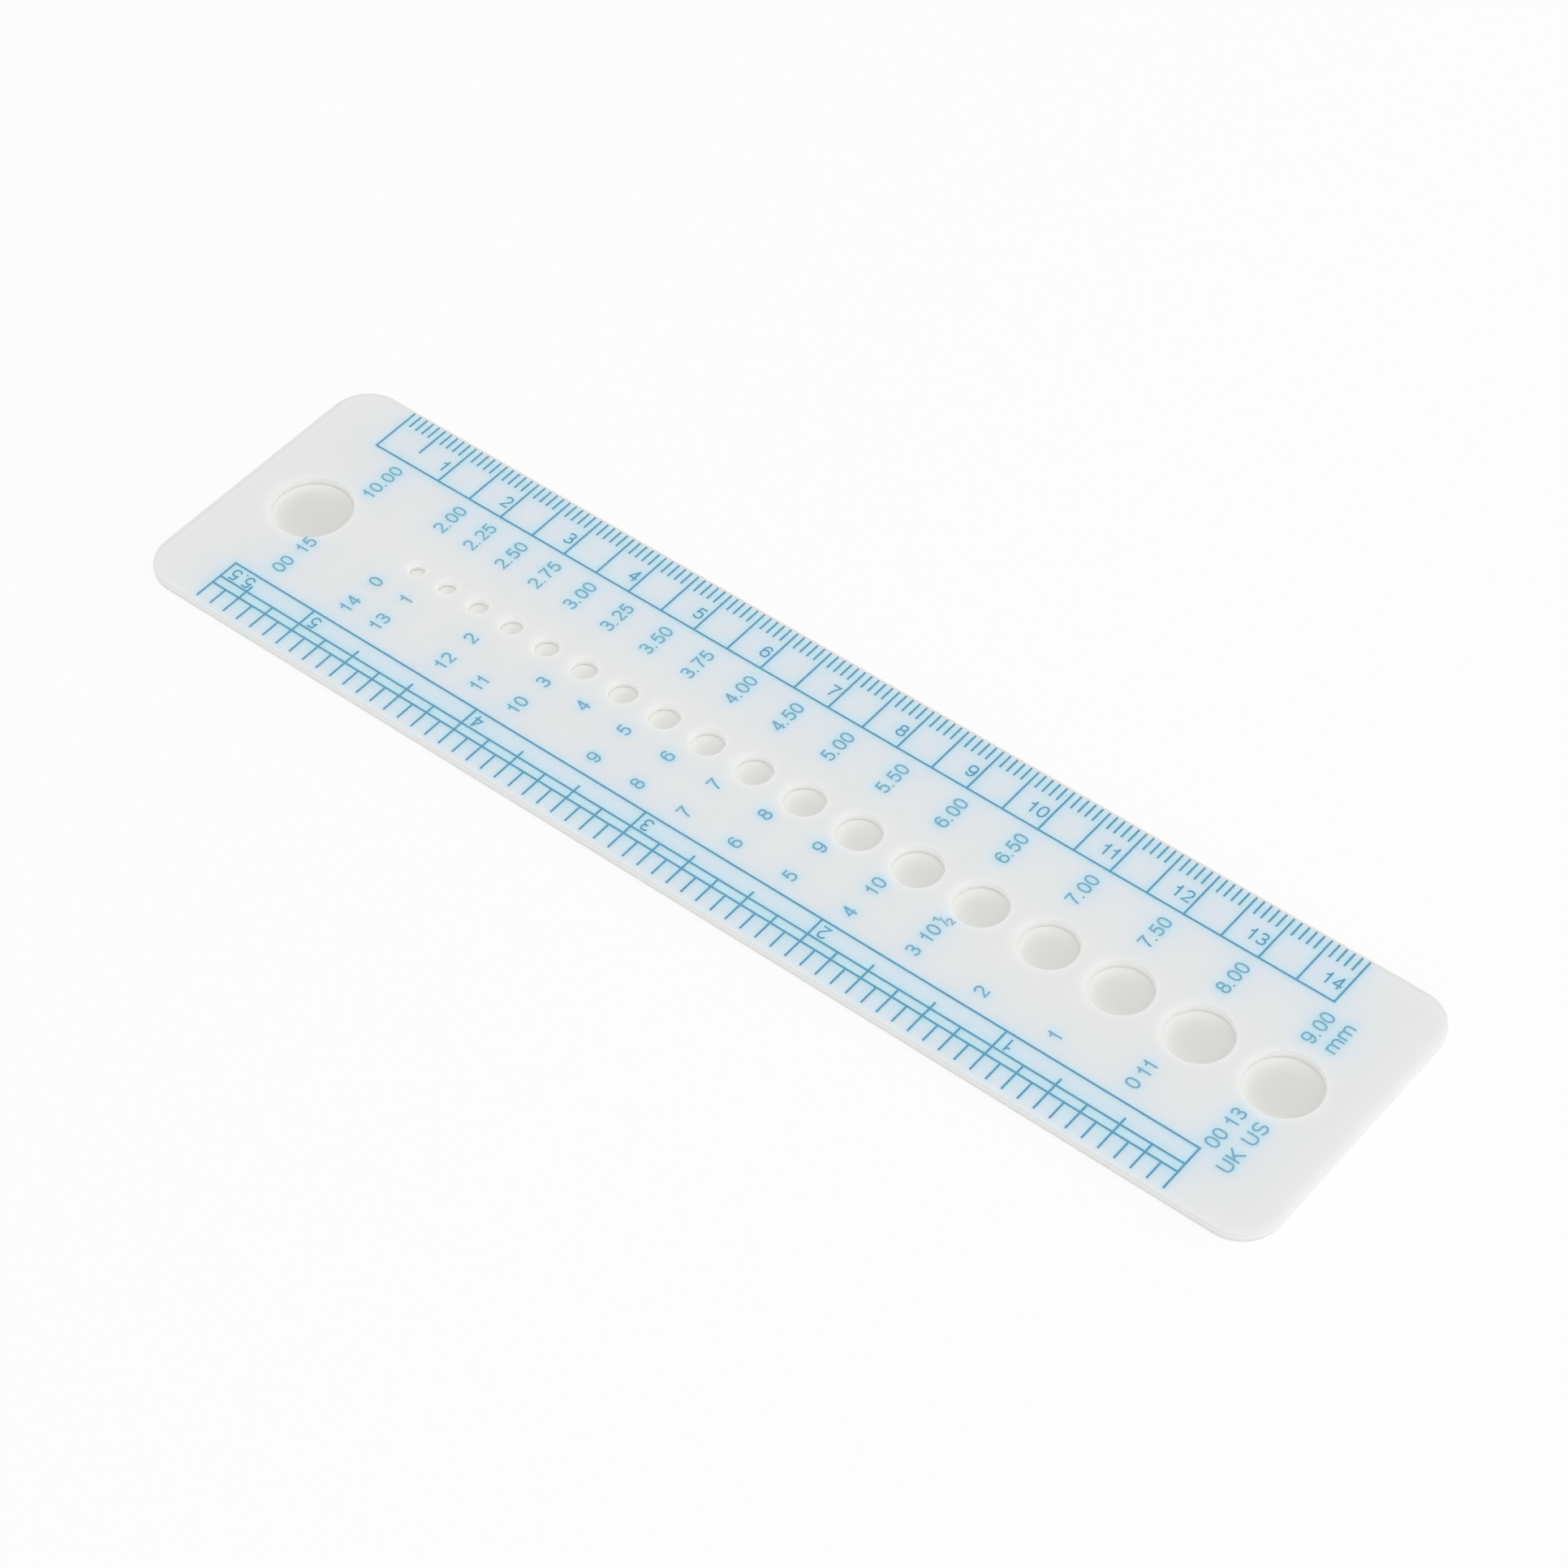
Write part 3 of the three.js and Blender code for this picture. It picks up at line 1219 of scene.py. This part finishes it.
def wear_edges(mesh, plate):
    """Stores on each point how much painted shade darkens it.

    The upper rims are darkened, most halfway down their rounding. At the plate's left and far
    edges, which turn away from the lamp, so is a thin line of the face beside them.
    """
    across, up, height = places(mesh)
    over_rim = ((PLATE_HIGH.z - height) / plate.rounding).clip(0, 1)
    outward_x = np.sign(across) * (abs(across) - PLATE_HIGH.x + plate.corner_radius).clip(0)
    outward_y = np.sign(up) * (abs(up) - PLATE_HIGH.y + plate.corner_radius).clip(0)
    outward = np.hypot(outward_x, outward_y)
    far_left = (1 + (outward_y - outward_x) / outward.clip(TINY)) / 2
    from_rim = (plate.corner_radius - outward - plate.rounding).clip(0)
    shade_beside_rim = far_left.clip(0, 1) * np.exp(-from_rim / plate.wear_reach)
    on_rim = 4 * over_rim * (1 - over_rim)
    store(mesh, RIM_SHADE, (on_rim + (1 - over_rim) * shade_beside_rim).clip(0, 1))


def store(mesh, name, values):
    """Stores a number on each point of a mesh."""
    layer = mesh.attributes.new(name, "FLOAT", "POINT")
    layer.data.foreach_set("value", values.astype(np.float32))


def smooth_with_flat_faces(mesh):
    """Smooth shading on the walls and rims, with the two faces kept truly flat."""
    mesh.shade_smooth()
    within = HAIR / 10
    normals = []
    for vertex in mesh.vertices:
        if vertex.co.z > PLATE_HIGH.z - within:
            normals.append((0, 0, 1))
        elif vertex.co.z < PLATE_LOW.z + within:
            normals.append((0, 0, -1))
        else:
            normals.append(tuple(vertex.normal))
    mesh.normals_split_custom_set_from_vertices(normals)


def plate_mesh(plate, holes, material):
    """The whole plate: walls and rims, a fine printed face and a plain underside."""
    walls = plate_walls(plate, holes, material)
    points = [tuple(vertex.co) for vertex in walls.vertices]
    faces = [tuple(polygon.vertices) for polygon in walls.polygons]
    grid = grid_points(plate, holes)
    for height, inner, upward in ((PLATE_HIGH.z, grid, True), (PLATE_LOW.z, [], False)):
        faces += fill_face(points, open_rims(walls, height), inner, height, upward)
    mesh = new_mesh("milky_plate", points, faces, material)
    solid = bmesh.new()
    solid.from_mesh(mesh)
    bmesh.ops.recalc_face_normals(solid, faces=solid.faces)
    solid.to_mesh(mesh)
    solid.free()
    smooth_with_flat_faces(mesh)
    return mesh


# Operators


class GAUGE_OT_centimetre_scale(bpy.types.Operator):
    """Prints the centimetre scale and its numbers"""

    bl_idname = "gauge.centimetre_scale"
    bl_label = "Centimetre scale"

    def execute(self, context):
        scale = context.scene.gauge_centimetre_scale
        printing = context.scene.gauge_print
        start = LEFT_END + scale.start
        centimetre = 10
        half_centimetre = 5
        inputs = {
            **ink_inputs(printing),
            "First tick": start,
            "Tick pitch": MM,
            "Ticks": centimetre * scale.centimetres + 1,
            "Outer end": scale.outer_end,
            "Tick end": scale.millimetre_end,
            "Every long tick": half_centimetre,
            "Long tick end": scale.base_line - printing.line_width / 2,
            "Odd tick": half_centimetre,
            "Odd tick end": scale.first_half_end,
            "Base line": scale.base_line,
        }
        steps = [("Every long tick", "Long tick end")]
        print_scale("centimetre_scale", inputs, steps, ["Base line"])

        numbers = Film(printing)
        for number in range(1, scale.centimetres + 1):
            text = str(number)
            end = start + number * centimetre * MM - scale.number_gap
            numbers.write(text, (end - numbers.text_width(text), scale.number_base), (1, 0))
        numbers.piece("centimetre_numbers")
        return {"FINISHED"}


class GAUGE_OT_inch_scale(bpy.types.Operator):
    """Prints the inch scale, which is read from the other edge"""

    bl_idname = "gauge.inch_scale"
    bl_label = "Inch scale"

    def execute(self, context):
        scale = context.scene.gauge_inch_scale
        printing = context.scene.gauge_print
        start = LEFT_END + scale.start
        over = printing.line_width / 2
        inputs = {
            **ink_inputs(printing),
            "First tick": start,
            "Tick pitch": -scale.inch / scale.divisions,
            "Ticks": scale.parts + 1,
            "Outer end": scale.outer_end,
            "Tick end": scale.lower_line + over,
            "Every second": 2,
            "Second end": scale.middle_line + over,
            "Every third": scale.divisions // 3,
            "Third end": scale.third_end,
            "Every inch": scale.divisions,
            "Inch end": scale.upper_line + over,
            "Odd tick": scale.parts,
            "Odd tick end": scale.upper_line + over,
            "Lower line": scale.lower_line,
            "Middle line": scale.middle_line,
            "Upper line": scale.upper_line,
        }
        steps = [
            ("Every second", "Second end"),
            ("Every third", "Third end"),
            ("Every inch", "Inch end"),
        ]
        print_scale("inch_scale", inputs, steps, ["Lower line", "Middle line", "Upper line"])

        numbers = Film(printing)
        marks = [(str(whole), whole) for whole in range(1, scale.parts // scale.divisions + 1)]
        marks.append((f"{scale.parts / scale.divisions:g}", scale.parts / scale.divisions))
        for text, inches in marks:
            left = start - inches * scale.inch + scale.number_gap
            numbers.write(text, (left + numbers.text_width(text), scale.number_base), (-1, 0))
        numbers.piece("inch_numbers")
        return {"FINISHED"}


# Direction in which the sizes are read, across the plate.
READING = (0, 1)


class GAUGE_OT_size_rows(bpy.types.Operator):
    """Prints the metric, US and UK sizes beside their holes"""

    bl_idname = "gauge.size_rows"
    bl_label = "Rows of sizes"

    # The size that each hole has in the other two systems, by its size in millimetres.
    US_SIZES = {
        2.0: "0", 2.25: "1", 2.75: "2", 3.25: "3", 3.5: "4", 3.75: "5", 4.0: "6", 4.5: "7",
        5.0: "8", 5.5: "9", 6.0: "10", 6.5: "10½", 8.0: "11", 9.0: "13", 10.0: "15",
    }
    UK_SIZES = {
        2.0: "14", 2.25: "13", 2.75: "12", 3.0: "11", 3.25: "10", 3.75: "9", 4.0: "8", 4.5: "7",
        5.0: "6", 5.5: "5", 6.0: "4", 6.5: "3", 7.0: "2", 7.5: "1", 8.0: "0", 9.0: "00",
        10.0: "00",
    }

    # How far single sizes stand off their row, in millimetres.
    METRIC_DROPS = {10.0: -0.35}
    METRIC_SHIFTS = {6.5: -0.4}
    US_DROPS = {6.5: -0.3, 8.0: 2.2, 9.0: 1.7}
    UK_DROPS = {9.0: 1.2}

    def execute(self, context):
        rows = context.scene.gauge_size_rows
        row = context.scene.gauge_hole_row
        printing = context.scene.gauge_print
        metric, us, uk = (Film(printing, is_row=True) for _ in ("metric", "US", "UK"))
        last_foot = LEFT_END
        for hole in hole_row(row):
            share = (hole.size - row.smallest) / (row.second_largest - row.smallest)
            shift = rows.small_shift + share * (rows.large_shift - rows.small_shift)
            is_alone = hole.size == row.largest
            middle = hole.x + rows.alone_shift if is_alone else hole.x - shift
            foot = middle + printing.letter_height / 2
            last_foot = max(last_foot, foot)
            key = round(hole.size / MM, 2)
            metric_end = rows.metric_end - self.METRIC_DROPS.get(key, 0) * MM
            metric_foot = foot + self.METRIC_SHIFTS.get(key, 0) * MM
            us_end = rows.us_end - self.US_DROPS.get(key, 0) * MM
            uk_start = rows.uk_start - self.UK_DROPS.get(key, 0) * MM
            self.write_ending(metric, f"{key:.2f}", metric_foot, metric_end)
            self.write_ending(us, self.US_SIZES.get(key, ""), foot, us_end)
            uk.write(self.UK_SIZES.get(key, ""), (foot, uk_start), READING)
        foot = last_foot + rows.heading_gap
        self.write_ending(metric, "mm", foot, rows.mm_heading_end)
        foot += rows.heading_step
        self.write_ending(us, "US", foot, rows.us_heading_end)
        uk.write("UK", (foot, rows.uk_heading_start), READING)
        metric.piece("metric_sizes")
        us.piece("us_sizes")
        uk.piece("uk_sizes")
        return {"FINISHED"}

    def write_ending(self, film, text, foot, end):
        """Writes a text so that it ends at the given place across the plate."""
        film.write(text, (foot, end - film.text_width(text)), READING)


class GAUGE_OT_plate(bpy.types.Operator):
    """Makes the milky plate with its row of holes, with painted light beside the ink and painted rim
    shade
    """

    bl_idname = "gauge.plate"
    bl_label = "Plate"

    def execute(self, context):
        plate = context.scene.gauge_plate
        holes = hole_row(context.scene.gauge_hole_row)
        mesh = plate_mesh(plate, holes, plastic_material(plate))
        tint_face(mesh, plate)
        light_walls(mesh, plate, holes)
        wear_edges(mesh, plate)
        piece = add_piece("milky_plate", mesh)
        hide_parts(PLATE_NODE)
        return {"FINISHED"}


class GAUGE_OT_stage(bpy.types.Operator):
    """Sets the camera, the soft lamp and the pale floor"""

    bl_idname = "gauge.stage"
    bl_label = "Stage"

    def execute(self, context):
        stage = context.scene.gauge_stage
        self.set_camera(context.scene, stage)
        self.set_floor(stage)
        self.set_light(context.scene, stage)
        context.scene.view_settings.view_transform = "Standard"
        return {"FINISHED"}

    def set_camera(self, scene, stage):
        """Points the camera at the plate from the photograph's side."""
        camera = add_object("camera", bpy.data.cameras.new("camera"))
        camera.data.sensor_width = stage.sensor
        camera.data.lens = stage.lens
        camera.data.clip_start = stage.nearest
        camera.data.clip_end = stage.farthest
        level = math.cos(stage.elevation)
        back = Vector((
            math.sin(stage.azimuth) * level,
            -math.cos(stage.azimuth) * level,
            math.sin(stage.elevation),
        ))
        camera.location = Vector(stage.aim) + back * stage.distance
        camera.rotation_mode = "QUATERNION"
        turn = Quaternion((0, 0, 1), stage.roll)
        camera.rotation_quaternion = (-back).to_track_quat("-Z", "Y") @ turn
        scene.camera = camera

    def set_floor(self, stage):
        """Lays the floor a hair below the plate."""
        half = stage.floor_reach * PLATE_LENGTH
        low = PLATE_LOW.z - HAIR
        corners = [(-half, -half, low), (half, -half, low), (half, half, low), (-half, half, low)]
        mesh = new_mesh("floor", corners, [(0, 1, 2, 3)], floor_finish(stage))
        floor = add_object("floor", mesh)

    def set_light(self, scene, stage):
        """Sets an even light from all round and one soft lamp."""
        scene.world = bpy.data.worlds.new("studio")
        tree = empty_tree(scene.world)
        strength = stage.sky + seen_directly(tree) * (1.0 - stage.sky)
        sockets = {"Color": opaque(WHITE), "Strength": strength}
        shell = tree.add("ShaderNodeBackground", None, sockets)
        tree.add("ShaderNodeOutputWorld", None, {"Surface": shell}, output=None)
        softbox = add_object("softbox", bpy.data.lights.new("softbox", "AREA"))
        softbox.data.shape = "RECTANGLE"
        softbox.data.size = stage.lamp_width
        softbox.data.size_y = stage.lamp_height
        softbox.data.energy = stage.lamp_power
        softbox.location = stage.lamp
        softbox.rotation_mode = "QUATERNION"
        softbox.rotation_quaternion = (-softbox.location).to_track_quat("-Z", "Y")


# Sidebar and registration


PROPERTIES = {
    "gauge_hole_row": HoleRow,
    "gauge_plate": Plate,
    "gauge_print": Print,
    "gauge_centimetre_scale": CentimetreScale,
    "gauge_inch_scale": InchScale,
    "gauge_size_rows": SizeRows,
    "gauge_stage": Stage,
}
OPERATORS = (
    GAUGE_OT_stage,
    GAUGE_OT_centimetre_scale,
    GAUGE_OT_inch_scale,
    GAUGE_OT_size_rows,
    GAUGE_OT_plate,
)


class GAUGE_PT_sidebar(bpy.types.Panel):
    """Lists the steps that make the gauge, in order"""

    bl_idname = "GAUGE_PT_sidebar"
    bl_label = "Needle gauge"
    bl_space_type = "VIEW_3D"
    bl_region_type = "UI"
    bl_category = "Needle gauge"

    def draw(self, context):
        for operator in OPERATORS:
            self.layout.operator(operator.bl_idname)
        for name, group in PROPERTIES.items():
            box = self.layout.box()
            box.label(text=group.__doc__)
            for key in group.__annotations__:
                box.prop(getattr(context.scene, name), key)


def register():
    for group in PROPERTIES.values():
        bpy.utils.register_class(group)
    for name, group in PROPERTIES.items():
        setattr(bpy.types.Scene, name, bpy.props.PointerProperty(type=group))
    for operator in OPERATORS:
        bpy.utils.register_class(operator)
    bpy.utils.register_class(GAUGE_PT_sidebar)


def unregister():
    bpy.utils.unregister_class(GAUGE_PT_sidebar)
    for operator in reversed(OPERATORS):
        bpy.utils.unregister_class(operator)
    for name in PROPERTIES:
        delattr(bpy.types.Scene, name)
    for group in reversed(PROPERTIES.values()):
        bpy.utils.unregister_class(group)


def main():
    """Makes the whole gauge."""
    register()
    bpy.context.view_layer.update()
    bpy.ops.gauge.stage()
    bpy.ops.gauge.centimetre_scale()
    bpy.ops.gauge.inch_scale()
    bpy.ops.gauge.size_rows()
    bpy.ops.gauge.plate()


if __name__ == "__main__":
    main()
